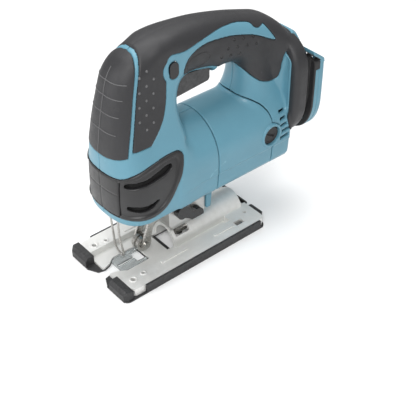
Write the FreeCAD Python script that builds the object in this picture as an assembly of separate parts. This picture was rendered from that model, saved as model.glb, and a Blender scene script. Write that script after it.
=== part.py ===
import FreeCAD, Part
import math
import os
from FreeCAD import Vector as V

# Cordless top-handle jigsaw, body only (no battery, no blade). Millimetres.
# +Z up, blade end towards -X, battery mount towards +X, operator's left side -Y.
# The origin is at the centre of the bounding box, on the underside of the shoe.

# ---- driving dimensions -------------------------------------------------------------------
BODY_HALF_W = 33.0            # half width of the barrel and of the lower nose
WALL = 3.0                    # wall of the plastic housing
SKIN = 1.6                    # thickness of overmoulded grips and snap-on covers
MOTOR_Z = 86.0                # height of the motor axis
BARREL_TOP_Z = 87.5           # centre of the round top of the barrel
SEAM_FRONT_X = -3.0           # front face of the separate motor housing
SEAM_REAR_X = 56.0            # rear face of the separate motor housing
BRUSH_X = 53.5                # station of the brushes and brush caps
PINION_TEETH = 10
GEAR_TEETH = 40
MODULE = 1.0
CRANK_R = 13.0                # half of the 26 mm stroke
STROKE_HALF = 13.0
GEAR_Z = MOTOR_Z + MODULE * (PINION_TEETH + GEAR_TEETH) / 2
SLIDER_X = -66.0              # axis of the reciprocating rod
ROLLER_X, ROLLER_Z, ROLLER_R = -57.5, 14.6, 7.0
SHOE_HALF_W = 39.0            # outer half width of the shoe over the cover strips
SHOE_FRONT, SHOE_REAR = -102.5, 46.0
RAIL_TOP = 8.5                # top of the raised side rails of the shoe
FLOOR_TOP = 3.0               # top of the low floor between the rails
SOLE = 1.2                    # thickness of the plastic sole under the shoe
BEVEL_Z, HUMP_R = 6.0, 14.0   # bevel axis and radius of the saddle hump
LEVER_X, LEVER_Z = -24.0, 40.5
FIT = 0.05                    # radial clearance of running fits
GAP = 0.4                     # clearance between parts that move past each other

os.makedirs("parts", exist_ok=True)


# ---- small helpers ------------------------------------------------------------------------
def box(x0, x1, y0, y1, z0, z1):
    return Part.makeBox(x1 - x0, y1 - y0, z1 - z0, V(x0, y0, z0))


def cyl(axis, r, at, length):
    return Part.makeCylinder(r, length, V(*at), V(*axis))


def cyl_x(r, x0, x1, y=0, z=0):
    return cyl((1, 0, 0), r, (x0, y, z), x1 - x0)


def cyl_y(r, y0, y1, x=0, z=0):
    return cyl((0, 1, 0), r, (x, y0, z), y1 - y0)


def cyl_z(r, z0, z1, x=0, y=0):
    return cyl((0, 0, 1), r, (x, y, z0), z1 - z0)


def fuse(shapes):
    first, rest = shapes[0], shapes[1:]
    return first.multiFuse(rest).removeSplitter() if rest else first


def prism(points, low, high, axis="y"):
    """A polygon of (x, z), (x, y) or (y, z) points, extruded along the remaining axis."""
    place = {"y": lambda a, b: V(a, low, b), "z": lambda a, b: V(a, b, low), "x": lambda a, b: V(low, a, b)}[axis]
    along = {"y": V(0, high - low, 0), "z": V(0, 0, high - low), "x": V(high - low, 0, 0)}[axis]
    corners = [place(a, b) for a, b in points]
    return Part.Face(Part.makePolygon(corners + corners[:1])).extrude(along)


def mirror(shape):
    return shape.mirror(V(0, 0, 0), V(0, 1, 0))


def pair(shape):
    return Part.makeCompound([shape, mirror(shape)])


def rounded(shape, radius, direction):
    """Fillet the straight edges that run along a direction."""
    edges = []
    for edge in shape.Edges:
        if not isinstance(edge.Curve, Part.Line):
            continue
        if abs(edge.Curve.Direction.dot(V(*direction))) > 0.999:
            edges.append(edge)
    return shape.makeFillet(radius, edges)


def loft(rings):
    wires = []
    for ring in rings:
        curve = Part.BSplineCurve()
        curve.interpolate([V(*p) for p in ring], PeriodicFlag=True)
        wires.append(Part.Wire(curve.toShape()))
    return Part.makeLoft(wires, True, False)


def superellipse(count, half_a, half_b, power):
    """Points of a rounded box outline, centred on zero."""
    points = []
    for i in range(count):
        angle = 2 * math.pi * i / count
        c, s = math.cos(angle), math.sin(angle)
        points.append((
            math.copysign(abs(c) ** (2 / power), c) * half_a,
            math.copysign(abs(s) ** (2 / power), s) * half_b,
        ))
    return points


def only_solid(shape):
    """The largest solid, without slivers left by a cut."""
    return max(shape.Solids, key=lambda s: s.Volume)


def carve(shape, tools):
    """Cut tools one after another, which is steadier than one compound of overlapping tools."""
    for tool in tools:
        shape = shape.cut(tool)
    return shape


def half(shape, side):
    """The half on one side of the centre plane: side -1 is left, +1 is right."""
    low, high = (-80, 0) if side < 0 else (0, 80)
    return shape.common(box(-200, 200, low, high, -50, 260))


# ---- outer shape of the tool body ---------------------------------------------------------
# height, front x at the centre line, half width, rear x
NOSE_LEVELS = [
    (60, -89.5, 31.5, -14),
    (66, -90.6, 33.4, -14),
    (90, -91.0, 33.4, -14),
    (105, -90.7, 31.0, -14),
    (120, -90.2, 26.5, -18),
    (139, -87.5, 22.0, -25),
    (164, -82.0, 18.5, -27),
    (180, -76.0, 17.5, -24),
    (189, -69.0, 15.0, -24),
    (194, -59.5, 10.5, -26),
]
NOSE_TAPER = 28.0             # length over which the front rounds in plan
NOSE_POWER = 2.5


def nose_ring(z, front, half_w, rear, inset):
    front, half_w, rear = front + inset, half_w - inset, rear - inset
    taper = min(NOSE_TAPER, 0.55 * (rear - front))
    side = []
    for t in (0.4, 0.68, 0.86, 0.96):
        x = front + taper * (1 - (1 - t ** NOSE_POWER) ** (1 / NOSE_POWER))
        side.append((x, t * half_w))
    side.append((front + taper, half_w))
    side.append((rear - 0.3 * half_w, half_w))
    side.append((rear - 0.02 * half_w, 0.6 * half_w))
    left = [(x, -y, z) for x, y in side]
    right = [(x, y, z) for x, y in reversed(side)]
    return [(front, 0, z)] + left + right


def nose(inset=0.0):
    rings = []
    for z, front, half_w, rear in NOSE_LEVELS:
        if z == NOSE_LEVELS[0][0]:
            z += inset
        if z == NOSE_LEVELS[-1][0]:
            z -= inset
        rings.append(nose_ring(z, front, half_w, rear, inset))
    return loft(rings)


def barrel(x0, x1, inset=0.0):
    """The motor barrel: round on top, flat sided, with a flat underside that rises a little."""
    r = BODY_HALF_W - inset
    bottom = 54.0 + inset
    arc = Part.Arc(V(x0, -r, BARREL_TOP_Z), V(x0, 0, BARREL_TOP_Z + r), V(x0, r, BARREL_TOP_Z)).toShape()
    corner = 11.0
    lines = [
        Part.makeLine(V(x0, r, BARREL_TOP_Z), V(x0, r, 74)),
        Part.makeLine(V(x0, r, 74), V(x0, r - 1.5, 72)),
        Part.makeLine(V(x0, r - 1.5, 72), V(x0, r - 2.5, bottom + corner)),
        Part.makeLine(V(x0, r - 2.5, bottom + corner), V(x0, r - 2.5 - corner, bottom)),
        Part.makeLine(V(x0, r - 2.5 - corner, bottom), V(x0, -r + 2.5 + corner, bottom)),
        Part.makeLine(V(x0, -r + 2.5 + corner, bottom), V(x0, -r + 2.5, bottom + corner)),
        Part.makeLine(V(x0, -r + 2.5, bottom + corner), V(x0, -r + 1.5, 72)),
        Part.makeLine(V(x0, -r + 1.5, 72), V(x0, -r, 74)),
        Part.makeLine(V(x0, -r, 74), V(x0, -r, BARREL_TOP_Z)),
    ]
    wire = Part.Wire(Part.__sortEdges__([arc] + lines))
    return Part.Face(wire).extrude(V(x1 - x0, 0, 0))


# station x, underside z, top z, half width of the handle
HANDLE_STATIONS = [
    (-46, 160, 196.0, 15.5),
    (-25, 157.5, 197.6, 17.0),
    (0, 153.0, 196.2, 17.0),
    (22, 152.3, 191.8, 17.0),
    (40, 147.0, 187.4, 17.0),
    (54, 134.0, 182.8, 18.0),
    (66, 116.0, 177.5, 22.0),
    (76, 98.0, 169.5, 29.5),
    (82, 88.5, 163.3, 34.5),
    (87.2, 83.5, 156.8, 37.4),
]


def handle(inset=0.0):
    rings = []
    for x, low, high, half_w in HANDLE_STATIONS:
        if x == HANDLE_STATIONS[0][0]:
            x += inset
        middle = (low + high) / 2
        outline = superellipse(16, half_w - inset, (high - low) / 2 - inset, 2.6)
        rings.append([(x, a, middle + b) for a, b in outline])
    return loft(rings)


def neck(inset=0.0):
    """The column that joins the rear of the handle to the barrel."""
    rings = []
    for z, front, rear, half_w in [(104, 34, 80, 27), (120, 37, 80, 22), (135, 38.5, 82, 18.5), (156, 39, 84, 17)]:
        middle, reach = (front + rear) / 2, (rear - front) / 2
        outline = superellipse(16, reach - inset, half_w - inset, 3.0)
        rings.append([(middle + a, b, z) for a, b in outline])
    return loft(rings)


def shield(x0, x1, half_w, top, shoulder, bottom):
    """The battery mount outline: square shoulders, a raised middle and a U-shaped foot."""
    foot = 0.62 * half_w
    outline = [
        V(x0, half_w, shoulder),
        V(x0, half_w, bottom + 30),
        V(x0, foot, bottom + 6),
        V(x0, 0, bottom),
        V(x0, -foot, bottom + 6),
        V(x0, -half_w, bottom + 30),
        V(x0, -half_w, shoulder),
    ]
    side_l = Part.makeLine(outline[5], outline[6])
    side_r = Part.makeLine(outline[0], outline[1])
    curve = Part.BSplineCurve()
    curve.interpolate(
        outline[1:6],
        InitialTangent=V(0, 0, -1),
        FinalTangent=V(0, 0, 1),
    )
    top_points = [
        outline[6],
        V(x0, -24, shoulder + 1.0),
        V(x0, -19.5, top - 0.5),
        V(x0, -12, top),
        V(x0, 12, top),
        V(x0, 19.5, top - 0.5),
        V(x0, 24, shoulder + 1.0),
        outline[0],
    ]
    edges = [side_l, side_r, curve.toShape()]
    for a, b in zip(top_points[:-1], top_points[1:]):
        edges.append(Part.makeLine(a, b))
    wire = Part.Wire(Part.__sortEdges__(edges))
    return Part.Face(wire).extrude(V(x1 - x0, 0, 0))


MOUNT_X0, GROOVE_X0, GROOVE_X1, MOUNT_X1 = 79.0, 87.5, 92.5, 102.5


def battery_mount():
    """Shield block, outer groove, and the flange with its open back and rail channels."""
    front = shield(MOUNT_X0, GROOVE_X0, 38.5, 151.0, 147.0, 72.0)
    core = shield(GROOVE_X0, GROOVE_X1, 33.5, 151.0, 147.0, 77.0)
    flange = shield(GROOVE_X1, MOUNT_X1, 39.0, 151.5, 143.5, 70.0)
    pocket = box(91, MOUNT_X1 + 1, -29, 29, 84, 160)
    channel = box(94, 98, -33.5, 33.5, 84, 160)
    return carve(fuse([front, core, flange]), [pocket, channel])


def front_barrel(inset=0.0):
    """The barrel with its belly starting behind the nose, which is shallower."""
    return barrel(-34 + inset, 74 - inset, inset).cut(box(-80, -12 + inset, -60, 60, 40, 60 + inset))


def outer_body():
    """Everything outside the shell cavity, before it is split into its mouldings."""
    return fuse([nose(), front_barrel(), handle(), neck(), battery_mount()])


def inner_cavity():
    shapes = [
        nose(WALL),
        front_barrel(WALL),
        handle(WALL).common(box(-60, 84, -50, 50, 90, 200)),
        neck(WALL),
    ]
    return fuse(shapes)


# ---- regions in side view (x, z) that split the skin into mouldings ---------------------------
# The 3 mm stripe that frames the front pad runs up the side of the nose.
STRIPE = [(-81.0, 119.5), (-75.5, 140), (-69.8, 165), (-63.0, 186), (-57.5, 200)]
STRIPE_W = 3.0

DIMPLE_SIDE = [(-71, 122.5), (-64, 123.5), (-51, 134), (-46, 140), (-41.5, 152), (-39.5, 165), (-38.5, 176)]

BUTTON_ZONE_TOP = [(-36.5, 183), (-33, 184.5), (-24, 182.5), (-8, 186), (12, 188), (32, 186), (47, 181)]
STRIPE_TAIL = [(50, 176.5), (57, 175), (66, 162.5)]
PANEL_TOP = [(60, 166), (52, 171), (38, 176.5), (20, 181), (0, 183), (-10, 181.5), (-19, 176), (-23.5, 168)]
PANEL_LOW = [(-23.5, 165), (-10, 162.5), (6, 160.5), (14, 156), (20, 150), (34, 146)]
NECK_LINE = [(38, 151), (44, 140), (52, 131.5), (62, 126), (70, 124.5), (77, 128), (82, 140), (84.5, 147)]
BAND_FRONT = [(80.5, 152), (79.5, 140), (77.5, 124), (76, 110), (76.5, 98), (79, 88), (84, 70)]


def pad_region():
    line = [(x, z) for x, z in STRIPE]
    return prism([(-120, 119.5)] + line + [(-57.5, 210), (-120, 210)], -60, 60)


def grip_region():
    """Top grip with the dimpled side panel, the neck sleeve and the band beside the battery."""
    front = [(x + STRIPE_W, z) for x, z in STRIPE]
    low = DIMPLE_SIDE + BUTTON_ZONE_TOP + STRIPE_TAIL
    neck_side = [(60, 158), (40, 153)]
    outline = list(reversed(front)) + low + neck_side + NECK_LINE
    outline += [(GROOVE_X0, 150), (GROOVE_X0, 210)]
    band = prism(BAND_FRONT + [(GROOVE_X0, 60), (GROOVE_X0, 156), (80.5, 156)], -60, 60)
    return prism(outline, -60, 60).fuse(band.cut(box(0, 200, -25, 25, 0, 250)))


def panel_region():
    """The dimpled insert on the side of the handle."""
    return prism(PANEL_TOP + PANEL_LOW + [(40, 152), (58, 158)], -60, 60)


# ---- housing mouldings --------------------------------------------------------------------------
def skin_body():
    """The outer shape reduced by the thickness of the overmoulds."""
    return fuse([
        nose(SKIN),
        handle(SKIN),
        neck(SKIN),
        barrel(-33, 73, 0.0),
        shield(MOUNT_X0, GROOVE_X0, 38.5 - SKIN, 151.0 - SKIN, 147.0 - SKIN, 72.0 + SKIN),
        box(86, 104, -60, 60, 60, 160),
    ])


def rear_seam_tool():
    """Everything behind the rear seam of the motor housing, which swings forward at the top."""
    outline = [(SEAM_REAR_X, 40), (SEAM_REAR_X, 99), (54, 107), (49, 114), (42, 119), (33, 122.5), (33, 130)]
    outline += [(120, 130), (120, 40)]
    return prism(outline, -60, 60)


def brush_boss(r):
    return cyl_y(r, -60, 60, BRUSH_X, MOTOR_Z + 0.6)


def motor_region():
    """The part of the body that is the separate motor housing."""
    zone = box(SEAM_FRONT_X, 90, -60, 60, 40, 130).cut(rear_seam_tool())
    return zone.fuse(brush_boss(10.5))


VENT_COVER = [(-89.2, 106.5), (-73, 111), (-58, 112.5), (-46, 113.5), (-39.5, 112.5), (-36.5, 106.5), (-40.5, 96)]
VENT_COVER += [(-48, 83), (-55, 74), (-63, 69.5), (-75, 68.5), (-89.2, 70.4)]
OPENER_Z0, OPENER_Z1 = 70.6, 104.8
OPENER_HALF = 18.6
HINGE = (-86.6, 17.0)         # x and y of the upright hinge of the opener


def opener_region(grow=0.0):
    side = OPENER_HALF + grow
    return box(-100, -80, -side, side, OPENER_Z0 - grow, OPENER_Z1 + grow)


def vent_slots():
    """Two curved air slots in each lower cover."""
    upper = [(-85, 101), (-72, 98.5), (-58, 99), (-51, 104), (-50, 107), (-58, 104), (-72, 102.5), (-85, 104.5)]
    lower = [(-86, 79), (-72, 75.5), (-62.5, 78), (-61.2, 82), (-70, 80), (-86, 84)]
    return [prism(upper, -60, 60), prism(lower, -60, 60)]


def rear_vents():
    """Cooling slots behind the brush caps."""
    slots = []
    for i, z in enumerate((104, 98.5, 92.5, 87, 81.5, 76)):
        reach = 75 if i == 4 else 71
        slots.append(box(64.8, reach, -60, -24, z - 1.2, z + 1.2))
        slots.append(box(64.8, reach, 24, 60, z - 1.2, z + 1.2))
    return slots


def lock_hole(grow):
    return rounded(box(-37 - grow, -29 + grow, -40, 40, 166 - grow, 179 + grow), 3.9 + grow, (0, 1, 0))


TRIGGER_PIN = (-22.0, 161.5)   # x and z of the trigger's pivot
TRIGGER_PIN_R = 1.2


def trigger_slot():
    return box(-27.6, 11, -9, 9, 141.4, 170)


def trigger_pin(r, half_length):
    return cyl_y(r, -half_length, half_length, *TRIGGER_PIN)


SCREWS = [(-47, 152), (-17, 184), (30, 168), (62, 150), (84, 96), (66, 66)]


def screw_bosses():
    """Boss columns for the case screws, one per screw, reaching in from the left."""
    return [cyl_y(4.0, -60, 0, x, z) for x, z in SCREWS]


def housing_shell(outer, cavity):
    shell = outer.cut(cavity)
    openings = [motor_region(), trigger_slot(), lock_hole(0.3), box(-80, -42, -22, 22, 55, 66)]
    openings.append(box(-48, -4, -19, 19, 50, 70))
    openings.append(box(85.4, 92, -20.2, 20.2, 111.8, 140.2))
    return carve(shell, openings + rear_vents())


def make_housing(nodes):
    """The left mouldings are modelled; the right ones mirror them, apart from the screw holes."""
    outer = half(outer_body(), -1)
    cavity = half(inner_cavity(), -1)
    skin_zone = outer.cut(skin_body())
    grip = carve(skin_zone.common(grip_region()), [motor_region(), lock_hole(1.0)])
    panel = carve(skin_zone.common(panel_region()), [trigger_slot(), grip])
    pad = skin_zone.common(pad_region())
    cover_cuts = [opener_region(0.8), hinge_room()]
    cover = carve(skin_zone.common(prism(VENT_COVER, -60, 60)), cover_cuts)
    opener_skin = skin_zone.common(opener_region())

    shell = housing_shell(outer, cavity)
    shell = carve(shell, [grip, panel, pad, cover])
    shell = shell.cut(opener_region(0.6).common(outer.cut(nose(WALL + 1.2))))
    shell = carve(shell, vent_slots())
    bosses = [boss.common(cavity) for boss in screw_bosses()]
    shell = carve(fuse([shell] + bosses), internals_clearance())
    cover = carve(only_solid(cover), vent_slots())

    parts = {"housing": shell, "grip": grip, "handle_panel": panel, "vent_cover": cover}
    for name, left in parts.items():
        left = only_solid(left)
        right = carve(mirror(left), screw_heads())
        if name == "housing":
            holes = screw_holes(1.8) + [trigger_pin(TRIGGER_PIN_R, 10.4)]
            left = carve(left, holes)
            right = carve(right, holes)
        nodes[name + "_left"] = only_solid(left)
        nodes[name + "_right"] = only_solid(right)
    pad = only_solid(pad)
    nodes["front_pad"] = only_solid(pad.fuse(mirror(pad)))
    nodes["tool_opener"] = make_opener(opener_skin.fuse(mirror(opener_skin)))
    nodes["motor_housing"] = make_motor_housing()
    nodes["housing_screws"] = make_case_screws()


def make_opener(skin):
    hinge = cyl_z(1.5, OPENER_Z0 + 1, OPENER_Z1 - 1, *HINGE)
    return only_solid(skin.fuse(hinge.common(nose())))


def make_motor_housing():
    tube = barrel(-62, 74).cut(barrel(-62, 74, WALL)).common(motor_region())
    boss = cyl_y(10.3, -BODY_HALF_W - 1.0, BODY_HALF_W + 1.0, BRUSH_X, MOTOR_Z + 0.6)
    boss = boss.cut(barrel(-62, 74, WALL + 1.0))
    housing = fuse([tube, boss])
    holes = cyl_y(8.3, -60, 60, BRUSH_X, MOTOR_Z + 0.6)
    return only_solid(housing.cut(holes))


def screw_holes(r):
    return [cyl_y(r, -12, 60, x, z) for x, z in SCREWS]


def screw_heads():
    return [cyl_y(3.6, 9.5, 60, x, z) for x, z in SCREWS]


def make_case_screws():
    screws = []
    for x, z in SCREWS:
        shank = cyl_y(1.7, -10, 9.6, x, z)
        head = cyl_y(3.3, 9.6, 12.1, x, z)
        cross = box(x - 0.5, x + 0.5, 11.1, 13, z - 2, z + 2)
        screws.append(only_solid(shank.fuse(head).cut(cross)))
    return Part.makeCompound(screws)


def hinge_room():
    """Round room about the opener's hinge, on both sides of the centre plane."""
    room = cyl_z(3.0, OPENER_Z0 - 0.6, OPENER_Z1 + 0.6, *HINGE)
    return room.fuse(mirror(room))


def internals_clearance():
    """Room in the two halves for the drive, the switch, the lamp and the wire guard."""
    guard = cyl_z(1.0, 55, 65.0, -82, -5)
    return [
        box(-52, -4.5, -25, 25, 63.2, 104.5),
        cyl_x(25, -52, -27, 0, GEAR_Z),
        cyl_x(11, -28, -20.5, 0, GEAR_Z),
        box(-80.5, -50, -10.5, 10.5, 62, 146),
        box(-14, 26, -10.5, 10.5, 160, 184),
        box(-87.1, -82.9, -3.1, 3.1, 55, 65.1),
        hinge_room(),
        guard,
    ]


# ---- gear housing and drive ----------------------------------------------------------------------
GEAR_SCREWS = [(-20.5, 70), (20.5, 70), (-20.5, 96), (20.5, 96)]
BOLT_X = -20.0


def gear_case(x0, x1):
    """Outline of the gear housing: square below, round over the crank gear."""
    return fuse([box(x0, x1, -24, 24, 63.5, 104), cyl_x(24, x0, x1, 0, GEAR_Z)])


def make_gear_housing(nodes):
    rear = box(-30, -6, -24, 24, 63.5, 104)
    nose_boss = cyl_x(10.5, -30, -21.5, 0, GEAR_Z)
    lower = box(-42, -5, -18, 18, 31, 64)
    foot = box(-34, -8, -10.5, 10.5, BEVEL_Z + HUMP_R + GAP, 31)
    body = fuse([gear_case(-46, -28), rear, nose_boss, rounded(lower, 3, (0, 1, 0)), foot])
    cavities = [
        cyl_x(22.0, -47, -30, 0, GEAR_Z),
        cyl_x(7.0, -47, -20, 0, MOTOR_Z),
        cyl_x(9.5, -20.0, -5, 0, MOTOR_Z),
        cyl_x(8.0, -30.5, -22.5, 0, GEAR_Z),
        cyl_y(4.3, -19, 19, LEVER_X, LEVER_Z),
        cyl_z(2.5 + FIT, 15, 40, BOLT_X, 0),
    ]
    body = carve(body, cavities)
    bolt_holes = [cyl_x(1.7, -47, -30, y, z) for y, z in GEAR_SCREWS]
    nodes["gear_housing"] = only_solid(carve(body, bolt_holes))
    nodes["gear_bearing"] = cyl_x(8.0, -30, -22.5, 0, GEAR_Z).cut(cyl_x(5.0 + FIT, -31, -20, 0, GEAR_Z))
    plate = gear_case(-49, -46).cut(cyl_x(17.5, -50, -45, 0, GEAR_Z))
    plate = carve(plate, [cyl_x(1.8, -50, -45, y, z) for y, z in GEAR_SCREWS])
    nodes["gear_housing_cover"] = only_solid(plate)
    screws = []
    for y, z in GEAR_SCREWS:
        screw = cyl_x(1.65, -49, -32, y, z).fuse(cyl_x(3.0, -51.4, -49, y, z))
        screws.append(screw.cut(cyl_x(1.2, -52, -50, y, z)))
    nodes["gear_housing_screws"] = Part.makeCompound(screws)


def gear_blank(teeth, width_x0, width_x1, z, phase):
    """A spur gear with straight-sided teeth, thinned for backlash."""
    pitch = MODULE * teeth / 2
    root, tip = pitch - 1.25 * MODULE, pitch + 0.85 * MODULE
    step = 2 * math.pi / teeth
    outline = []
    for i in range(teeth):
        middle = i * step + phase
        for r, share in ((root, -0.30), (pitch, -0.205), (tip, -0.09), (tip, 0.09), (pitch, 0.205), (root, 0.30)):
            angle = middle + share * step
            outline.append((r * math.sin(angle), z + r * math.cos(angle)))
    return prism(outline, width_x0, width_x1, "x")


def make_drive(nodes):
    pinion_phase = 0.0
    gear_phase = math.pi + math.pi / GEAR_TEETH
    pinion = gear_blank(PINION_TEETH, -41, -31.5, MOTOR_Z, pinion_phase)
    shaft = fuse([
        pinion,
        cyl_x(3.0, -43, 68, 0, MOTOR_Z),
        cyl_x(4.5, -21, -14.5, 0, MOTOR_Z),
        cyl_x(4.5, -5.5, 10, 0, MOTOR_Z),
    ])
    nodes["armature_shaft"] = shaft
    nodes["motor_bearing_front"] = bearing(-14.5, -5.5, 3.0, 9.5, MOTOR_Z)
    nodes["motor_bearing_rear"] = bearing(61, 67, 3.0, 8.0, MOTOR_Z)
    nodes["fan"] = make_fan()
    nodes["armature_core"] = make_core()
    nodes["armature_windings"] = make_windings()
    nodes["commutator"] = make_commutator()

    gear = gear_blank(GEAR_TEETH, -40.5, -32.5, GEAR_Z, gear_phase)
    hub = cyl_x(5.0, -40.5, -23.0, 0, GEAR_Z)
    holes = [cyl_x(3.0, -42, -30, 11.5 * math.cos(a), GEAR_Z + 11.5 * math.sin(a)) for a in (2.2, 3.14, 4.08)]
    gear = carve(fuse([gear, hub]), holes)
    socket = cyl_x(3.0, -41, -32, CRANK_R, GEAR_Z)
    nodes["crank_gear"] = only_solid(gear.cut(socket))
    nodes["crank_pin"] = fuse([cyl_x(3.0, -51.0, -32.5, CRANK_R, GEAR_Z), cyl_x(4.0, -42.5, -40.5, CRANK_R, GEAR_Z)])


def bearing(x0, x1, bore, outer, z):
    ring = cyl_x(outer, x0, x1, 0, z).cut(cyl_x(bore + FIT, x0 - 1, x1 + 1, 0, z))
    seal = cyl_x(outer - 1.5, x0 - 1, x0 + 0.6, 0, z).cut(cyl_x(bore + 1.8, x0 - 2, x0 + 2, 0, z))
    return only_solid(ring.cut(seal))


def make_fan():
    hub = cyl_x(7, -3, 6, 0, MOTOR_Z)
    disc = cyl_x(25.5, 4, 6, 0, MOTOR_Z)
    blades = []
    for i in range(12):
        blade = box(-3, 4.5, -0.8, 0.8, MOTOR_Z + 11, MOTOR_Z + 25)
        blade.rotate(V(0, 0, MOTOR_Z), V(1, 0, 0), i * 30)
        blades.append(blade)
    return only_solid(fuse([hub, disc] + blades).cut(cyl_x(4.5, -5, 8, 0, MOTOR_Z)))


def make_core():
    core = cyl_x(17.2, 14, 42, 0, MOTOR_Z)
    slots = []
    for i in range(12):
        slot = box(10, 50, -1.6, 1.6, MOTOR_Z + 10, MOTOR_Z + 16)
        mouth = box(10, 50, -0.6, 0.6, MOTOR_Z + 15, MOTOR_Z + 20)
        both = slot.fuse(mouth)
        both.rotate(V(0, 0, MOTOR_Z), V(1, 0, 0), i * 30)
        slots.append(both)
    core = carve(core, slots)
    return only_solid(core.cut(cyl_x(3.0, 10, 50, 0, MOTOR_Z)))


def make_windings():
    """Copper overhang at each end of the core, joined through its slots."""
    ends = []
    for x0, x1 in ((10.2, 14), (42, 46.5)):
        ring = cyl_x(15.5, x0, x1, 0, MOTOR_Z).cut(cyl_x(3.0, x0 - 1, x1 + 1, 0, MOTOR_Z))
        ends.append(ring)
    bars = []
    for i in range(12):
        bar = box(13.5, 42.5, -1.3, 1.3, MOTOR_Z + 10.5, MOTOR_Z + 15.2)
        bar.rotate(V(0, 0, MOTOR_Z), V(1, 0, 0), i * 30)
        bars.append(bar)
    return only_solid(fuse(ends + bars))


def make_commutator():
    body = cyl_x(10.0, 46.5, 59, 0, MOTOR_Z).cut(cyl_x(3.0, 40, 62, 0, MOTOR_Z))
    slits = []
    for i in range(12):
        slit = box(48.5, 60, -0.25, 0.25, MOTOR_Z + 8.8, MOTOR_Z + 11)
        slit.rotate(V(0, 0, MOTOR_Z), V(1, 0, 0), i * 30 + 15)
        slits.append(slit)
    return only_solid(carve(body, slits))


def make_stator(nodes):
    yoke = cyl_x(28.0, 9, 44.8, 0, MOTOR_Z).cut(cyl_x(25.8, 8, 50, 0, MOTOR_Z))
    nodes["stator_yoke"] = yoke
    ring = cyl_x(25.7, 12, 43, 0, MOTOR_Z).cut(cyl_x(18.0, 10, 50, 0, MOTOR_Z))
    gap = box(10, 50, -40, 40, MOTOR_Z - 7, MOTOR_Z + 7)
    magnets = ring.cut(gap)
    nodes["magnets"] = Part.makeCompound(magnets.Solids)
    holders, brushes = [], []
    zb = MOTOR_Z + 0.6
    holder = box(49.5, 57.5, -26.5, -12.0, zb - 5, zb + 5).cut(box(50.9, 56.1, -30, -10, zb - 3.6, zb + 3.6))
    brush = box(51.0, 56.0, -21.0, -10.4, zb - 3.5, zb + 3.5)
    holders.append(holder)
    brushes.append(brush)
    nodes["brush_holders"] = pair(holders[0])
    nodes["carbon_brushes"] = pair(brushes[0])
    spring = cyl_y(2.2, -27.0, -21.0, BRUSH_X, zb).cut(cyl_y(1.4, -27.5, -20.5, BRUSH_X, zb))
    nodes["brush_springs"] = pair(spring)
    cap = cyl_y(8.2, -31.6, -27.2, BRUSH_X, zb)
    slot = box(BRUSH_X - 5.5, BRUSH_X + 5.5, -33, -30.2, zb - 0.7, zb + 0.7)
    slot.rotate(V(BRUSH_X, 0, zb), V(0, 1, 0), 35)
    nodes["brush_caps"] = pair(cap.cut(slot))


# ---- slider, blade clamp and orbital parts ------------------------------------------------------
def make_slider(nodes):
    rod = cyl_z(4.0, 58, 147, SLIDER_X, 0)
    yoke = box(-61, -52, -19, 19, GEAR_Z - 5.5, GEAR_Z + 5.5)
    yoke = rounded(yoke, 3, (1, 0, 0)).cut(box(-62, -51, -16.4, 16.4, GEAR_Z - 3.3, GEAR_Z + 3.3))
    web = box(-66, -60.5, -4, 4, GEAR_Z - 12, GEAR_Z + 12)
    nodes["slider_rod"] = only_solid(fuse([rod, yoke, web]))
    clamp = cyl_z(5.5, 44.5, 58, SLIDER_X, 0).cut(box(-72, -60, -0.7, 0.7, 40, 54))
    nodes["blade_clamp"] = only_solid(clamp)
    sleeve = cyl_z(8.2, 45.5, 55.5, SLIDER_X, 0)
    ear = box(-77.5, -70, -3.2, 3.2, 47, 54)
    sleeve = fuse([sleeve, rounded(ear, 1.2, (0, 0, 1))]).cut(cyl_z(5.5 + FIT, 40, 60, SLIDER_X, 0))
    nodes["clamp_sleeve"] = only_solid(sleeve)
    nodes["clamp_spring"] = coil(SLIDER_X, 0, 58.2, 62.6, 5.4, 0.55, 2.5)
    for name, z0, z1 in (("slider_bearing_lower", 76, 86), ("slider_bearing_upper", 137, 146)):
        bush = rounded(box(-74, -58, -8, 8, z0, z1), 2.5, (0, 0, 1))
        bush = bush.cut(cyl_z(4.0 + FIT, 60, 160, SLIDER_X, 0))
        nodes[name] = only_solid(bush)


def coil(x, y, z0, z1, radius, wire, turns):
    """A compression spring as a swept round wire."""
    pitch = (z1 - z0 - 2 * wire) / turns
    helix = Part.makeLongHelix(pitch, pitch * turns, radius)
    helix.translate(V(x, y, z0 + wire))
    ring = Part.Wire(Part.makeCircle(wire, V(x + radius, y, z0 + wire), V(0, 1, 0)))
    return Part.Wire(helix.Edges).makePipeShell([ring], True, True)


def make_counterweight(nodes):
    plate = box(-79.0, -76.0, -9, 9, 110, 130)
    nodes["counterweight"] = rounded(plate, 3, (1, 0, 0))


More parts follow.
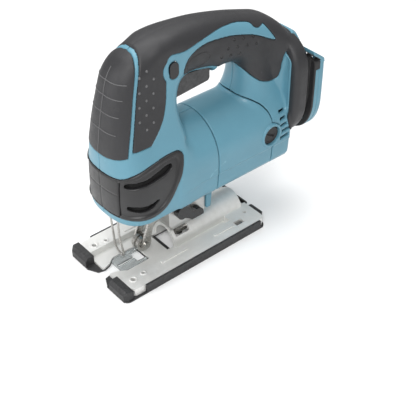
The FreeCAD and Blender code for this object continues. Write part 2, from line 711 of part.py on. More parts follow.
def make_orbital(nodes):
    arm_line = [(-52, 44), (-45, 46), (-44, 40), (-50, 30), (-53, 17), (-58, 9.2), (-61.5, 12), (-60.5, 18), (-56, 30)]
    arms = []
    for y0 in (-6.6, 4.6):
        arms.append(prism(arm_line, y0, y0 + 2.0))
    bridge = box(-51, -45.5, -6.6, 6.6, 38, 45)
    fork = fuse(arms + [bridge])
    fork = fork.cut(cyl_y(1.8 + FIT, -10, 10, ROLLER_X, ROLLER_Z)).cut(cyl_y(2.0 + FIT, -20, 20, -47.5, 42.5))
    nodes["roller_fork"] = only_solid(fork)
    wheel = cyl_y(ROLLER_R, -4.2, 4.2, ROLLER_X, ROLLER_Z)
    groove = cyl_y(ROLLER_R + 2, -0.75, 0.75, ROLLER_X, ROLLER_Z).cut(cyl_y(ROLLER_R - 2, -1, 1, ROLLER_X, ROLLER_Z))
    nodes["roller"] = only_solid(wheel.cut(groove).cut(cyl_y(1.8 + FIT, -6, 6, ROLLER_X, ROLLER_Z)))
    pin = cyl_y(1.8, -6.6, 6.6, ROLLER_X, ROLLER_Z)
    heads = [cyl_y(3.0, -7.8, -6.6, ROLLER_X, ROLLER_Z), cyl_y(3.0, 6.6, 7.8, ROLLER_X, ROLLER_Z)]
    nodes["roller_pin"] = fuse([pin] + heads)
    nodes["fork_pin"] = cyl_y(2.0, -9.5, 9.5, -47.5, 42.5)
    ears = [box(-50.5, -42, s - 1.4, s + 1.4, 38.5, 62) for s in (-9.0, 9.0)]
    ears.append(box(-46.5, -42, -10.4, 10.4, 50, 62))
    hanger = fuse(ears).cut(cyl_y(2.0 + FIT / 2, -20, 20, -47.5, 42.5))
    nodes["fork_bracket"] = only_solid(hanger)


def lever_outline():
    """Two round lobes joined by a waist, drawn about the pivot."""
    lobe, reach, tilt = 6.2, 8.6, math.radians(-33)
    shapes = []
    for s in (-1, 1):
        shapes.append((LEVER_X + s * reach * math.cos(tilt), LEVER_Z + s * reach * math.sin(tilt), lobe))
    return shapes


def make_orbital_lever(nodes):
    lobes = [cyl_y(r, -23.6, -18.4, x, z) for x, z, r in lever_outline()]
    waist = box(-8.6, 8.6, -23.6, -18.4, -4.4, 4.4)
    waist.rotate(V(0, 0, 0), V(0, 1, 0), 33)
    waist.translate(V(LEVER_X, 0, LEVER_Z))
    knob = fuse(lobes + [waist])
    nodes["orbital_lever"] = only_solid(knob.cut(bevel_clearance()))
    shaft = cyl_y(4.2, -18.4, 12, LEVER_X, LEVER_Z).cut(box(-40, 0, -10, 4, LEVER_Z + 2.4, LEVER_Z + 8))
    nodes["orbital_cam_shaft"] = only_solid(shaft)


def bevel_clearance():
    """The space that the shoe's left rail sweeps when it tilts up by 45 degrees."""
    rise = BEVEL_Z + (RAIL_TOP - BEVEL_Z) * math.sqrt(2) + 0.8
    return prism([(-60, 0), (0, 0), (0, rise), (-60, rise + 60)], -60, 20, "x")


def make_wire_guard(nodes):
    top, foot, knee, low = V(-82, 5.0, 64.5), V(-82, 5.0, 55), V(-80.5, 4.6, 28), V(-77.5, 2.3, 12.2)
    points = [top, foot, knee, low, V(-77.0, 0, 10.9)]
    points += [V(p.x, -p.y, p.z) for p in reversed(points[:-1])]
    curve = Part.BSplineCurve()
    curve.interpolate(points, InitialTangent=V(0, 0, -1), FinalTangent=V(0, 0, 1))
    path = Part.Wire(curve.toShape())
    ring = Part.Wire(Part.makeCircle(0.9, top, V(0, 0, -1)))
    nodes["wire_guard"] = path.makePipeShell([ring], True, False)


def make_led(nodes):
    nodes["led_lens"] = rounded(box(-87, -83, -3, 3, 60.4, 65), 1.2, (0, 0, 1))


# ---- shoe -----------------------------------------------------------------------------------------
NOTCH = [(-110, 17), (-102, 13), (-98, 5.0), (-92, 3.6), (-86, 5.6), (-80, 9.6), (-58, 9.6)]


def notch_prism(grow, low, high):
    """The blade notch: pinched near the front by two round lobes, wider behind them."""
    side = [(x, y + grow) for x, y in NOTCH[:-1]] + [(NOTCH[-1][0] + grow, NOTCH[-1][1] + grow)]
    outline = side + [(x, -y) for x, y in reversed(side)]
    return prism(outline, low, high, "z")


def make_shoe(nodes):
    front, rear, half_w = SHOE_FRONT + 8.5, SHOE_REAR, 37.0
    slab = rounded(box(front, rear, -half_w, half_w, SOLE, RAIL_TOP), 5, (0, 0, 1))
    trough = box(-120, 20, -21.5, 21.5, FLOOR_TOP, 20)
    under = [box(front + 12, rear - 6, s - 5.5, s + 5.5, 0, RAIL_TOP - 2.5) for s in (-29, 29)]
    hump = cyl_x(HUMP_R, -34, 40, 0, BEVEL_Z).common(box(-40, 50, -30, 30, SOLE, 30))
    tunnel = cyl_x(HUMP_R - 2.8, -40, 60, 0, BEVEL_Z)
    tunnel = fuse([tunnel, box(-40, 50, -11.2, 11.2, 0, BEVEL_Z)])
    plate = fuse([carve(slab, [trough] + under), hump]).cut(tunnel)
    slot_x = (BOLT_X - 3.2 - SLIDE_TRAVEL, BOLT_X + 3.2)
    sweep = [box(slot_x[0], slot_x[1], -3.0, 3.0, BEVEL_Z + 5, BEVEL_Z + 20)]
    for angle in (-48, -32, -16, 16, 32, 48):
        piece = box(slot_x[0], slot_x[1], -3.4, 3.4, BEVEL_Z + 5, BEVEL_Z + 20)
        piece.rotate(V(0, 0, BEVEL_Z), V(1, 0, 0), angle)
        sweep.append(piece)
    plate = plate.cut(fuse(sweep)).cut(notch_prism(0.6, -1, 20))
    holes = []
    for x, y, r in ((-86.8, 26.7, 2.0), (-75.4, 25.7, 1.3), (37, 21.2, 1.4)):
        holes += [cyl_z(r, -1, 20, x, y), cyl_z(r, -1, 20, x, -y)]
    for y in (-28.0, 28.0):
        holes.append(box(20, 28.5, y - 2.5, y + 2.5, -1, 20))
        holes.append(box(-98, -82, math.copysign(33, y) - 3, math.copysign(33, y) + 5, 3.2, 6.4))
        holes.append(box(20, 60, math.copysign(33, y) - 3, math.copysign(33, y) + 5, 3.2, 6.4))
    plate = carve(plate, holes)
    ribs = []
    for y in (-25.5, 25.5):
        ribs.append(box(-57, -30, y - 1.2, y + 1.2, RAIL_TOP - 0.2, RAIL_TOP + 0.8))
        ribs.append(box(-3, 18, math.copysign(28, y) - 1.2, math.copysign(28, y) + 1.2, RAIL_TOP - 0.2, RAIL_TOP + 0.8))
    nodes["base_plate"] = only_solid(fuse([plate] + ribs))
    nodes["cover_plate"] = make_cover_plate()
    nodes["anti_splinter_insert"] = make_insert()
    nodes["base_clamp_plate"] = make_clamp_plate()
    nodes["base_bolt"] = make_base_bolt()
    nodes["hex_wrench"] = make_wrench()


SLIDE_TRAVEL = 8.0


def make_cover_plate():
    """Black sole with side strips, front caps and rear clips."""
    sole = rounded(box(SHOE_FRONT, SHOE_REAR, -SHOE_HALF_W, SHOE_HALF_W, 0, SOLE), 5, (0, 0, 1))
    pieces = [sole]
    for s in (-1, 1):
        y0, y1 = sorted((s * 37.2, s * SHOE_HALF_W))
        pieces.append(box(-82, 40, y0, y1, 0, RAIL_TOP - 0.3))
        side = [(SHOE_FRONT, 0), (SHOE_FRONT, 6.0), (SHOE_FRONT + 2.6, 9.2), (-94.2, 9.2), (-94.2, 0)]
        y0, y1 = sorted((s * 16, s * 38))
        cap = prism(side, y0, y1)
        corner = prism([(-110, s * 30), (-110, s * 60), (-92, s * 60), (-92, s * 39.5), (-99, s * 38.5)], -1, 20, "z")
        pieces.append(cap.cut(corner))
        y0, y1 = sorted((s * 15, s * 30))
        tab = rounded(box(SHOE_REAR - 3, SHOE_REAR + 4.5, y0, y1, 0, 7.0), 1.5, (0, 0, 1))
        pieces.append(tab.cut(box(SHOE_REAR - 5, SHOE_REAR + 0.05, -50, 50, SOLE, 20)))
    pieces.append(box(SHOE_REAR, SHOE_REAR + 0.6, -32, 32, 0, SOLE))
    body = fuse(pieces)
    window = box(-36, 38, -11.2, 11.2, -1, 3)
    slots = [cyl_z(1.0, -1, 3, x, y) for x in (-70, 30) for y in (-34, 34)]
    return only_solid(carve(body, [notch_prism(0.0, -1, 20), window] + slots))


def make_insert():
    """Clear anti-splinter strip with a fork for the blade."""
    plate = box(-83.5, -58.5, -9.2, 9.2, 0.6, 2.5)
    plate = rounded(plate, 2.0, (0, 0, 1))
    slot = box(-82.0, -50, -1.3, 1.3, -1, 5)
    legs = box(-69.5, -50, -5.9, 5.9, -1, 5)
    return only_solid(plate.cut(slot).cut(legs.common(box(-66.5, -50, -5.9, 5.9, -1, 5))).common(notch_prism(-0.15, -1, 20)))


def make_clamp_plate():
    ring = cyl_x(HUMP_R - 3.0, -30, -4, 0, BEVEL_Z).cut(cyl_x(HUMP_R - 5.2, -31, -3, 0, BEVEL_Z))
    arc = ring.common(box(-40, 0, -7.5, 7.5, BEVEL_Z + 3, 40))
    slot = box(BOLT_X - 2.8 - SLIDE_TRAVEL, BOLT_X + 2.8, -2.8, 2.8, 5, 40)
    return only_solid(arc.cut(slot))


def make_base_bolt():
    shank = cyl_z(2.5, 9.5, 36, BOLT_X, 0)
    head = cyl_z(4.2, 5.0, 9.6, BOLT_X, 0)
    hexagon = [(BOLT_X + 2.3 * math.cos(math.radians(a)), 2.3 * math.sin(math.radians(a))) for a in range(0, 360, 60)]
    return only_solid(shank.fuse(head).cut(prism(hexagon, 4, 8, "z")))


def make_wrench():
    """Hexagon key stored along the inside of the hump, short leg across the rear edge."""
    across = 2.0
    ring = [(across * math.cos(math.radians(a)), across * math.sin(math.radians(a))) for a in range(0, 360, 60)]
    y, z = 6.6, 5.4
    long_leg = prism([(y + a, z + b) for a, b in ring], 8, SHOE_REAR + 2.5, "x")
    short_leg = prism([(SHOE_REAR + 2.5 + a, z + b) for a, b in ring], -10, y + 2.0)
    return only_solid(long_leg.fuse(short_leg))


# ---- controls and electronics -------------------------------------------------------------------
def make_controls(nodes):
    blade = [(-26, 142.2), (7, 145.2), (8.2, 147.5), (8.2, 156.5), (-17, 158.8)]
    ears = [(-18.5, 163.9), (-25.4, 163.6), (-26, 158)]
    trigger = rounded(prism(blade + ears, -8.5, 8.5), 1.6, (0, 1, 0))
    hollow = box(-17, 5, -6.3, 6.3, 149, 170)
    nodes["trigger"] = only_solid(carve(trigger, [hollow, trigger_pin(TRIGGER_PIN_R + FIT, 12)]))
    nodes["trigger_pin"] = trigger_pin(TRIGGER_PIN_R, 10.4)
    bar = lock_hole(0.0).common(box(-60, 0, -18.6, 15.0, 150, 190))
    nodes["lock_off_button"] = only_solid(bar)
    switch = rounded(box(-12, 24, -9.5, 9.5, 163.5, 182), 1.0, (0, 1, 0))
    plunger = box(-8, 2, -4, 4, 158.8, 163.6)
    nodes["switch_body"] = fuse([switch, plunger])
    nodes["controller_board"] = box(28, 52, -10, 10, 160, 161.6)
    block = rounded(box(85.5, 90.8, -20, 20, 112, 140), 2, (1, 0, 0))
    nodes["terminal_block"] = block
    blades = [box(90.8, 99, y - 0.6, y + 0.6, 118, 134) for y in (-15, -5, 5, 15)]
    nodes["battery_contacts"] = Part.makeCompound(blades)


def main():
    nodes = {}
    make_housing(nodes)
    make_gear_housing(nodes)
    make_drive(nodes)
    make_stator(nodes)
    make_slider(nodes)
    make_counterweight(nodes)
    make_orbital(nodes)
    make_orbital_lever(nodes)
    make_wire_guard(nodes)
    make_led(nodes)
    make_shoe(nodes)
    make_controls(nodes)
    for name, shape in nodes.items():
        shape.exportStep("parts/" + name + ".step")
        print(name, len(shape.Solids), round(shape.Volume), shape.isValid())


main()
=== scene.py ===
import math

import bmesh
import bpy
import numpy as np
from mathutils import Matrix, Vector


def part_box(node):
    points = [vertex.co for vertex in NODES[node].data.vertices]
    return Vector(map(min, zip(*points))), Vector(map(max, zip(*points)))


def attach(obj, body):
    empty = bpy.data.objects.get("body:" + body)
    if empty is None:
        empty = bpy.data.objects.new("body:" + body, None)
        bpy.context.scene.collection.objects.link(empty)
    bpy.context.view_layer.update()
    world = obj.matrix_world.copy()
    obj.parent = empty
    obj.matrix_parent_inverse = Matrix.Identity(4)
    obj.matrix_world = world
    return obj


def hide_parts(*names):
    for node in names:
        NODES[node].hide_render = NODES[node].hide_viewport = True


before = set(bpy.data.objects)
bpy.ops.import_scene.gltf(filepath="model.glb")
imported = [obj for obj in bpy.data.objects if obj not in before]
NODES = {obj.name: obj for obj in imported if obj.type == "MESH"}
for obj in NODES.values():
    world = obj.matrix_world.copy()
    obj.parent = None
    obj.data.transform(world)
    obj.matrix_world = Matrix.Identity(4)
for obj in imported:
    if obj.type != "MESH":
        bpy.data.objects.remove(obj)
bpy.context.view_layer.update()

import openvdb
from mathutils import Matrix, Vector
from mathutils.bvhtree import BVHTree

MM = 0.001

# ---- sizes and places, all in millimetres ------------------------------------------------------
VOXEL = 0.6
SEAM = 0.12                   # half of the gap between the two case halves
SKIN = 1.5                    # thickness of the overmoulds and snap-on covers
PROUD = 0.35                  # how far they stand above the case
SHELL = 2.6                   # wall of the case
FAR = 130                     # well outside the tool, for outlines that run off its edge


def middle(node):
    """x and z of the middle of a CAD node."""
    low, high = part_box(node)
    return [round((low[i] + high[i]) / 2 / MM, 2) for i in (0, 2)]


BRUSH_X, BRUSH_Z = middle("brush_caps")
BUTTON = middle("lock_off_button")
BUTTON_RIM = 9.5              # radius of the blue field round the lock-off button
CAP_R = 7.9                   # the brush cap
CAP_BORE, CAP_RING = 8.35, 10.5         # the ring round it, inside and outside
CAP_SEAT_Y = 29.5             # the ring stands out from here
OPENER_HALF = round(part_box("tool_opener")[1][1] / MM, 2)
OPENER_Z = (68.2, 101.8)
OPENER_BACK = -80             # the opener's pocket ends here
MOTOR_FRONT = round(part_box("motor_housing")[0][0] / MM, 2)
MOTOR_TOP = 123.0             # the motor housing ends under the handle
GROOVE = (87.6, 92.0)         # the battery groove, from the shield to the flange
FLANGE_BACK = 102.4
FLANGE_HALF = 39.0
ROOF_SLOPE = 0.75             # fall of the roof behind the handle towards the battery


# ---- curves and distance fields ------------------------------------------------------------------


def spline(points):
    """A natural cubic spline through (t, value) pairs, as a function of t."""
    t, v = (np.array(column, float) for column in zip(*points))
    n, h = len(t), np.diff(t)
    a, r = np.eye(n), np.zeros(n)
    for i in range(1, n - 1):
        a[i, i - 1:i + 2] = h[i - 1], 2 * (h[i - 1] + h[i]), h[i]
        r[i] = 6 * ((v[i + 1] - v[i]) / h[i] - (v[i] - v[i - 1]) / h[i - 1])
    m = np.linalg.solve(a, r)

    def at(q):
        q = np.clip(q, t[0], t[-1])
        i = np.clip(np.searchsorted(t, q) - 1, 0, n - 2)
        left, right, step = q - t[i], t[i + 1] - q, h[i]
        value = (m[i] * right**3 + m[i + 1] * left**3) / (6 * step)
        value += (v[i] / step - m[i] * step / 6) * right
        return value + (v[i + 1] / step - m[i + 1] * step / 6) * left

    return at


def smooth_loop(points, per_side=8):
    """A closed Catmull-Rom curve through the points."""
    p = np.array(points, float)
    a, b, c, d = np.roll(p, 1, 0), p, np.roll(p, -1, 0), np.roll(p, -2, 0)
    out = []
    for k in range(per_side):
        t = k / per_side
        bend, twist = 2 * a - 5 * b + 4 * c - d, 3 * b - a - 3 * c + d
        out.append(0.5 * (2 * b + (c - a) * t + bend * t**2 + twist * t**3))
    return np.stack(out, 1).reshape(-1, 2)


def chaikin(points, rounds=2):
    """The same loop with its corners cut, so that they turn gently."""
    p = np.array(points, float)
    for _ in range(rounds):
        q = np.roll(p, -1, 0)
        p = np.stack([0.78 * p + 0.22 * q, 0.22 * p + 0.78 * q], 1).reshape(-1, 2)
    return p


def loop_distance(loop, u, v):
    """Signed distance to a closed loop in a plane, negative inside."""
    best = np.full(np.broadcast(u, v).shape, 1e9, np.float32)
    inside = np.zeros(best.shape, bool)
    for (ax, ay), (bx, by) in zip(loop, np.roll(loop, -1, 0)):
        ex, ey = bx - ax, by - ay
        t = np.clip(((u - ax) * ex + (v - ay) * ey) / (ex * ex + ey * ey + 1e-12), 0, 1)
        best = np.minimum(best, (u - ax - t * ex) ** 2 + (v - ay - t * ey) ** 2)
        if ay != by:
            crosses = ((v >= ay) != (v >= by)) & (u < ax + (v - ay) * ex / ey)
            inside ^= crosses
    return np.where(inside, -np.sqrt(best), np.sqrt(best)).astype(np.float32)


def smin(a, b, k):
    """Union of two fields, blended over a width k."""
    h = np.clip(0.5 + 0.5 * (b - a) / k, 0, 1)
    return b + (a - b) * h - k * h * (1 - h)


def smax(a, b, k):
    """Overlap of two fields, with an edge rounded over a width k."""
    return -smin(-a, -b, k)


def cut(field, tool):
    """What is left of a field outside the tool."""
    return np.maximum(field, -tool)


def step_up(a, b, q):
    """0 before a, 1 after b, with a gentle rise between."""
    t = np.clip((q - a) / (b - a), 0, 1)
    return t * t * (3 - 2 * t)


class Space:
    """A regular grid of points between two corners."""

    def __init__(self, low, high, voxel=None):
        self.voxel = voxel or VOXEL
        self.low = np.array(low, np.float32)
        x, y, z = (np.arange(a, b + self.voxel, self.voxel, dtype=np.float32) for a, b in zip(low, high))
        self.x = x[:, None, None]
        self.y = y[None, :, None]
        self.z = z[None, None, :]

    def true_distance(self, g):
        """Scales an implicit function so that it reads as a distance near its surface."""
        gx, gy, gz = np.gradient(g, self.voxel)
        return g / np.maximum(np.sqrt(gx * gx + gy * gy + gz * gz), 1e-3)

    def mesh(self, field, name):
        """The surface where the field is zero, as a mesh in metres."""
        limit = 3 * self.voxel
        grid = openvdb.FloatGrid(limit)
        grid.copyFromArray(np.ascontiguousarray(np.clip(field, -limit, limit), np.float32))
        points, tris, quads = grid.convertToPolygons(isovalue=0.0, adaptivity=0.0)
        points = (points * self.voxel + self.low) * MM
        faces = [tuple(int(i) for i in f[::-1]) for group in (quads, tris) for f in group]
        mesh = bpy.data.meshes.new(name)
        mesh.from_pydata(points.tolist(), [], faces)
        mesh.validate()
        return keep_large(mesh)


def keep_large(mesh, least=40):
    """Drops crumbs: closed bits of surface with only a few faces."""
    bm = bmesh.new()
    bm.from_mesh(mesh)
    seen, crumbs = set(), []
    for start in bm.verts:
        if start.index in seen:
            continue
        island, stack = [], [start]
        seen.add(start.index)
        while stack:
            v = stack.pop()
            island.append(v)
            for e in v.link_edges:
                w = e.other_vert(v)
                if w.index not in seen:
                    seen.add(w.index)
                    stack.append(w)
        if len(island) < least:
            crumbs += island
    bmesh.ops.delete(bm, geom=crumbs, context="VERTS")
    if bm.calc_volume(signed=True) < 0:
        bmesh.ops.reverse_faces(bm, faces=bm.faces)
    for f in bm.faces:
        f.smooth = True
    bm.to_mesh(mesh)
    bm.free()
    return mesh


def place(name, mesh, body, slot, material, nodes=()):
    """Adds a mesh as a piece that rides on a body and stands in for CAD nodes."""
    obj = bpy.data.objects.new(name, mesh)
    bpy.context.scene.collection.objects.link(obj)
    mesh.materials.clear()
    mesh.materials.append(material)
    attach(obj, body)
    if nodes:
        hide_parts(*nodes)
    return obj


def mirrored(mesh, name):
    """The same mesh on the other side of the centre plane."""
    other = mesh.copy()
    other.name = name
    other.transform(Matrix.Scale(-1, 4, (0, 1, 0)))
    other.flip_normals()
    return other


# ---- outer form of the tool body -------------------------------------------------------------------
# side view of nose, handle and neck: x towards the battery, z up
SILHOUETTE = [
    (-88.5, 30), (-89.4, 52), (-90.6, 64), (-91.2, 76), (-91.2, 90), (-90.8, 105), (-90.3, 120),
    (-88.9, 130), (-87.3, 140), (-84.9, 152), (-82.0, 164), (-79.0, 174.5), (-74.5, 182.0),
    (-68.5, 187.6), (-61.5, 191.0), (-54, 193.8), (-47, 195.8), (-40, 197.0), (-26, 197.8),
    (-12, 197.4), (2, 195.9), (17, 193.1), (32, 189.6), (44, 186.2), (56, 182.4), (66, 178.6),
    (76, 172.0), (84, 163.0), (91, 154.0), (94, 140), (94, 110), (88, 92), (76, 84), (56, 78), (20, 74),
    (-6, 66), (-12, 50), (-14, 30), (-50, 26),
]
FINGER_GAP = [
    (-21, 110), (-22.5, 121), (-25.5, 131), (-27.0, 141), (-26.2, 150), (-22, 157), (-12, 158.0),
    (-2, 156.2), (7, 154.0), (9.4, 151.6), (11.6, 150.2), (14.5, 152.2), (20, 152.8), (30, 151.6),
    (36, 148.6), (39.0, 143), (39.0, 134), (37.4, 126), (35, 118), (34, 104), (6, 98),
]
COLUMN_W = spline([
    (40, 31.6), (60, 32.6), (66, 33.4), (78, 33.7), (92, 33.0), (105, 30.6), (120, 26.6), (139, 22.2),
    (164, 18.7), (180, 17.4), (200, 16.8),
])
COLUMN_R = spline([
    (40, 24), (60, 25), (90, 25), (105, 26), (120, 24), (139, 18.5), (160, 17.5), (200, 18),
])
HANDLE_W = spline([
    (-60, 17.0), (-30, 17.2), (0, 17.0), (40, 17.2), (54, 18.2), (64, 20.4), (74, 26.0), (84, 31),
    (94, 33),
])
NECK_W = spline([(90, 29), (104, 26.5), (120, 21.0), (135, 18.2), (150, 17.2), (200, 17)])


def grip_form(s):
    """Nose, handle and neck: the silhouette inflated to the half width at each place."""
    loop = smooth_loop(SILHOUETTE, 6)
    hole = smooth_loop(FINGER_GAP, 6)
    d = -np.maximum(loop_distance(loop, s.x, s.z), -loop_distance(hole, s.x, s.z))
    back = step_up(-36, -8, s.x)
    low = 1 - step_up(138, 168, s.z + 0.4 * (s.x - 40))
    rear = HANDLE_W(s.x) * (1 - low) + np.maximum(NECK_W(s.z), HANDLE_W(s.x) * 0.9) * low
    width = COLUMN_W(s.z) * (1 - back) + rear * back
    corner = step_up(-56, -42, s.x) * step_up(92, 108, s.z)
    reach = (COLUMN_R(s.z) * (1 - corner) + 11.0 * corner) * (1 - back) + 19.0 * back
    power = 2.5
    t = np.clip(1 - d / reach, 0, None)
    g = ((np.abs(s.y) / width) ** power + t**power) ** (1 / power) - 1
    g = s.true_distance(g.astype(np.float32) * 18)
    return smax(g, 60.0 - s.z + 0.0 * g, 3.0)


BARREL_R, BARREL_Z = 33, 87.5
BARREL_ENDS = (-40, 75.5)


def barrel_loop():
    """End view of the motor barrel: a round top, and sides that close in to a flat underside."""
    angles = np.linspace(-math.pi / 2, math.pi / 2, 40)
    arc = [(BARREL_R * math.sin(a), BARREL_Z + BARREL_R * math.cos(a)) for a in angles]
    right = [(33, 75.2), (32.2, 74.0), (31.8, 66), (31.2, 61), (29.0, 57.2), (25, 55.4), (12, 54.6)]
    left = [(-y, z) for y, z in reversed(right)]
    return np.array(arc + right + left)


def slab(s, loop, x0, x1, round_by):
    """An end view loop pulled along x."""
    ring = loop_distance(loop, s.y + 0 * s.z, s.z + 0 * s.y)
    whole = np.broadcast_to(ring, np.broadcast(s.x, s.y, s.z).shape)
    return smax(whole, np.maximum(x0 - s.x, s.x - x1), round_by)


def shield_loop(half_w, top, shoulder, bottom):
    """End view of the battery mount: a flat top with lower shoulders, and a bottom that rounds in."""
    right = [(12, top), (18.5, top - 0.4), (23.5, shoulder + 0.8), (half_w - 2, shoulder)]
    right += [(half_w, shoulder - 2)]
    right += [(half_w, bottom + 36), (half_w - 0.8, bottom + 26), (half_w - 4, bottom + 16)]
    right += [(half_w - 10, bottom + 7.5), (half_w - 19, bottom + 2), (half_w - 30, bottom)]
    return both_sides(right)


def both_sides(right):
    """An end view loop with rounded corners, from its right half."""
    return chaikin(right + [(-y, z) for y, z in reversed(right)], 2)


SHIELD_LOOP = both_sides([
    (10, 163.5), (18, 162.6), (26, 159.2), (32.5, 153.5), (36.6, 146.5), (38.4, 138), (38.4, 108),
    (37.6, 98), (34.4, 88.5), (28.4, 80), (19.4, 74.5), (8.4, 72.5),
])


def shoulders(s, centre, edge):
    """Height of a top that is flat across the middle and lower towards both sides."""
    return centre + (edge - centre) * step_up(14, 27, np.abs(s.y))


def mount_form(s):
    """The block that carries the battery rails: shield, core of the groove, flange and sloping roof."""
    shield = slab(s, SHIELD_LOOP, 72.5, GROOVE[0], 6.0)
    core = slab(s, shield_loop(33.5, 150.5, 146.0, 77.0), 80.0, 96.0, 1.0)
    flange = slab(s, shield_loop(FLANGE_HALF, 151.5, 142.6, 70.2), GROOVE[1], FLANGE_BACK, 1.0)
    z = s.z + ROOF_SLOPE * (s.x - FLANGE_BACK)
    top = (z - shoulders(s, 152.0, 142.6)) / 1.5
    ends = np.maximum(np.maximum(82 - s.x, s.x - FLANGE_BACK), np.abs(s.y) - FLANGE_HALF)
    roof = smax(top, np.maximum(ends, (138.8 - z) / 1.25), 1.0)
    return shield, core, np.minimum(flange, roof)


# ---- regions in side view that split the surface into mouldings ------------------------------------
STRIPE_LINE = [
    (-81.2, 117.8), (-78.4, 130), (-75.4, 141), (-72.4, 153), (-69.6, 165), (-66.6, 176), (-63.0, 186),
    (-60.2, 191.5), (-57.6, 196), (-52, 215),
]
PAD = [(-FAR, 116.6)] + STRIPE_LINE + [(-FAR, 215)]
GRIP = [(x + 3.0, z) for x, z in reversed(STRIPE_LINE)] + [
    (-76.8, 119.8), (-70, 120.2), (-63, 122.4), (-52, 132.4), (-46.5, 140), (-42.6, 151), (-40.6, 164),
    (-39.8, 176), (-37.8, 182.6), (-34.2, 185.0), (-29, 184.2), (-22, 183.4), (-12, 185.2), (0, 187.2),
    (14, 188.4), (30, 186.9), (42, 183.4), (45.2, 181.6), (47.0, 178.4), (50.5, 176.8), (54.6, 177.2),
    (57.0, 178.2), (60.5, 173), (66.5, 163), (60, 165.5), (50, 171.2), (38, 175.8), (20, 180.4),
    (2, 182.6), (-9, 181.6), (-17.5, 177.4), (-22.6, 170.5), (-23.6, 165.6), (-20.5, 163.6),
    (-8, 162.6), (4, 160.8), (12, 157.4), (18, 151.5), (24, 144), (34, 148.5), (37.5, 147.5), (41, 143),
    (46, 136.5), (53, 130.8), (61, 128.0), (66, 127.8), (69.4, 130), (70.4, 136), (70.6, 144),
    (71.4, 152), (74.4, 158.5), (77, 161.5), (89.6, 163), (89.6, 215),
]
BAND = [
    (74.4, 164), (73.6, 157), (71.8, 150), (70.8, 140), (70.8, 95), (73.6, 85), (79, 77), (84, 60),
    (88.2, 60), (89.6, 150), (89.6, 170),
]
VENT_COVER = [
    (-FAR, 101.6), (-88.5, 102.2), (-80, 106.4), (-71, 109.2), (-58, 111.6), (-46, 112.8),
    (-39.6, 112.4), (-35.6, 109.0), (-36.6, 102.8), (-39.8, 94.5), (-44.0, 85.5), (-50.5, 75.5),
    (-57, 69.4), (-65, 66.6), (-75, 66.4), (-88.5, 67.4), (-FAR, 67.4),
]
COVER_INNER = [
    (-FAR, 99.2), (-88, 99.6), (-79, 103.4), (-70, 106.2), (-57, 108.4), (-46, 109.4), (-41.4, 108.6),
    (-40.6, 103.6), (-43.4, 95.5), (-48.0, 86), (-54.0, 77.4), (-60, 72.4), (-67, 70.2), (-FAR, 70.2),
]
UPPER_SLOT = [
    (-85.4, 99.6), (-78, 100.4), (-71, 100.6), (-61, 102.6), (-53, 105.0), (-47.0, 105.0),
    (-46.4, 101.6), (-52, 98.2), (-60, 96.8), (-70, 95.8), (-78, 95.6), (-85.4, 95.4),
]
LOWER_SLOT = [
    (-85.4, 80.4), (-78, 79.2), (-70, 78.6), (-62.6, 80.6), (-60.8, 79.6), (-65, 75.8), (-71, 73.8),
    (-78, 73.9), (-85.4, 76.2),
]
REAR_SEAM = [
    (56, 30), (56, 99), (54.4, 106.4), (50, 113), (43, 118.4), (34, 122.4), (32, 150), (140, 150),
    (140, 30),
]


def region(s, loop, rounds=2):
    """Distance in side view to an outline; adding 0 * s.y spreads such a field over the whole grid."""
    return loop_distance(chaikin(loop, rounds), s.x, s.z)


def pits(s, spots, radius, depth):
    """A shallow round pit at each spot, as a height to take off the surface."""
    out = np.zeros(np.broadcast(s.x, s.z).shape, np.float32)
    for px, pz in spots:
        r2 = (s.x - px) ** 2 + (s.z - pz) ** 2
        out = np.maximum(out, depth * np.exp(-r2 / (radius * radius)))
    return out


def body_form(s):
    """The whole outer surface in front of the battery groove."""
    shield, core, flange = mount_form(s)
    barrel = slab(s, barrel_loop(), *BARREL_ENDS, 2.0)
    body = smin(grip_form(s), barrel, 4.5)
    return smin(body, shield, 3.0), core, flange


def slot_box(s, x0, x1, z0, z1, round_by):
    """Distance in side view to a rounded rectangle."""
    qx = np.abs(s.x - (x0 + x1) / 2) - (x1 - x0) / 2 + round_by
    qz = np.abs(s.z - (z0 + z1) / 2) - (z1 - z0) / 2 + round_by
    return np.hypot(np.maximum(qx, 0), np.maximum(qz, 0)) + np.minimum(np.maximum(qx, qz), 0) - round_by


def covering(s, body, area, edge=0.9, proud=PROUD, depth=SKIN):
    """A moulding that sits in a pocket of the case: proud, with a rounded rim."""
    top = smax(body - proud, area + np.zeros_like(body), edge)
    return np.maximum(top, -(body + depth))


def pocket(body, area):
    return np.maximum(area - 0.22, -(body + SKIN + 0.1))


LIP_AT, LIP_H = 1.3, 0.5      # the blue rim beside the rear band
DEEP = (GROOVE[0] - 0.4, 93.6)          # the dark insert lines the groove this far
PLATE = (93.0, 98.2, 134.0)             # x, x and lowest z of the dark plate at the head of the flange
INSERT_FALL = 139.4                     # the insert ends under the blue roof
VENT_FRONT, VENT_HALF, VENT_TILT = 63.4, 1.4, 0.12
VENTS = ((103, 69.6), (97, 69.6), (91.4, 70.6), (85.6, 73.5), (79.6, 73.5))     # height and rear end
BUTTON_SLOT = (-37.3, -28.7, 165.7, 179.3, 4.2)
TRIGGER_SLOT = (-27.6, 11, 141.2, 170, 1.0)
TRIGGER_HALF = 9.2
INNER_ROOM = (((-80, -42), -22, (40, 66)), ((-48, -2.5), -19, (40, 70)), ((-80, -50), -10, (60, 147)))
POCKET_FRONT, POCKET_HALF, POCKET_FLOOR = 91, 29, 84
RAIL_X, RAIL_HALF = 96, 33.5


def cover_gap(s):
    """Where the opener sits, between the two vent covers."""
    return np.maximum(np.maximum(OPENER_Z[0] - s.z, s.z - OPENER_Z[1]),
                      np.maximum(s.x - OPENER_BACK, -OPENER_HALF - s.y))


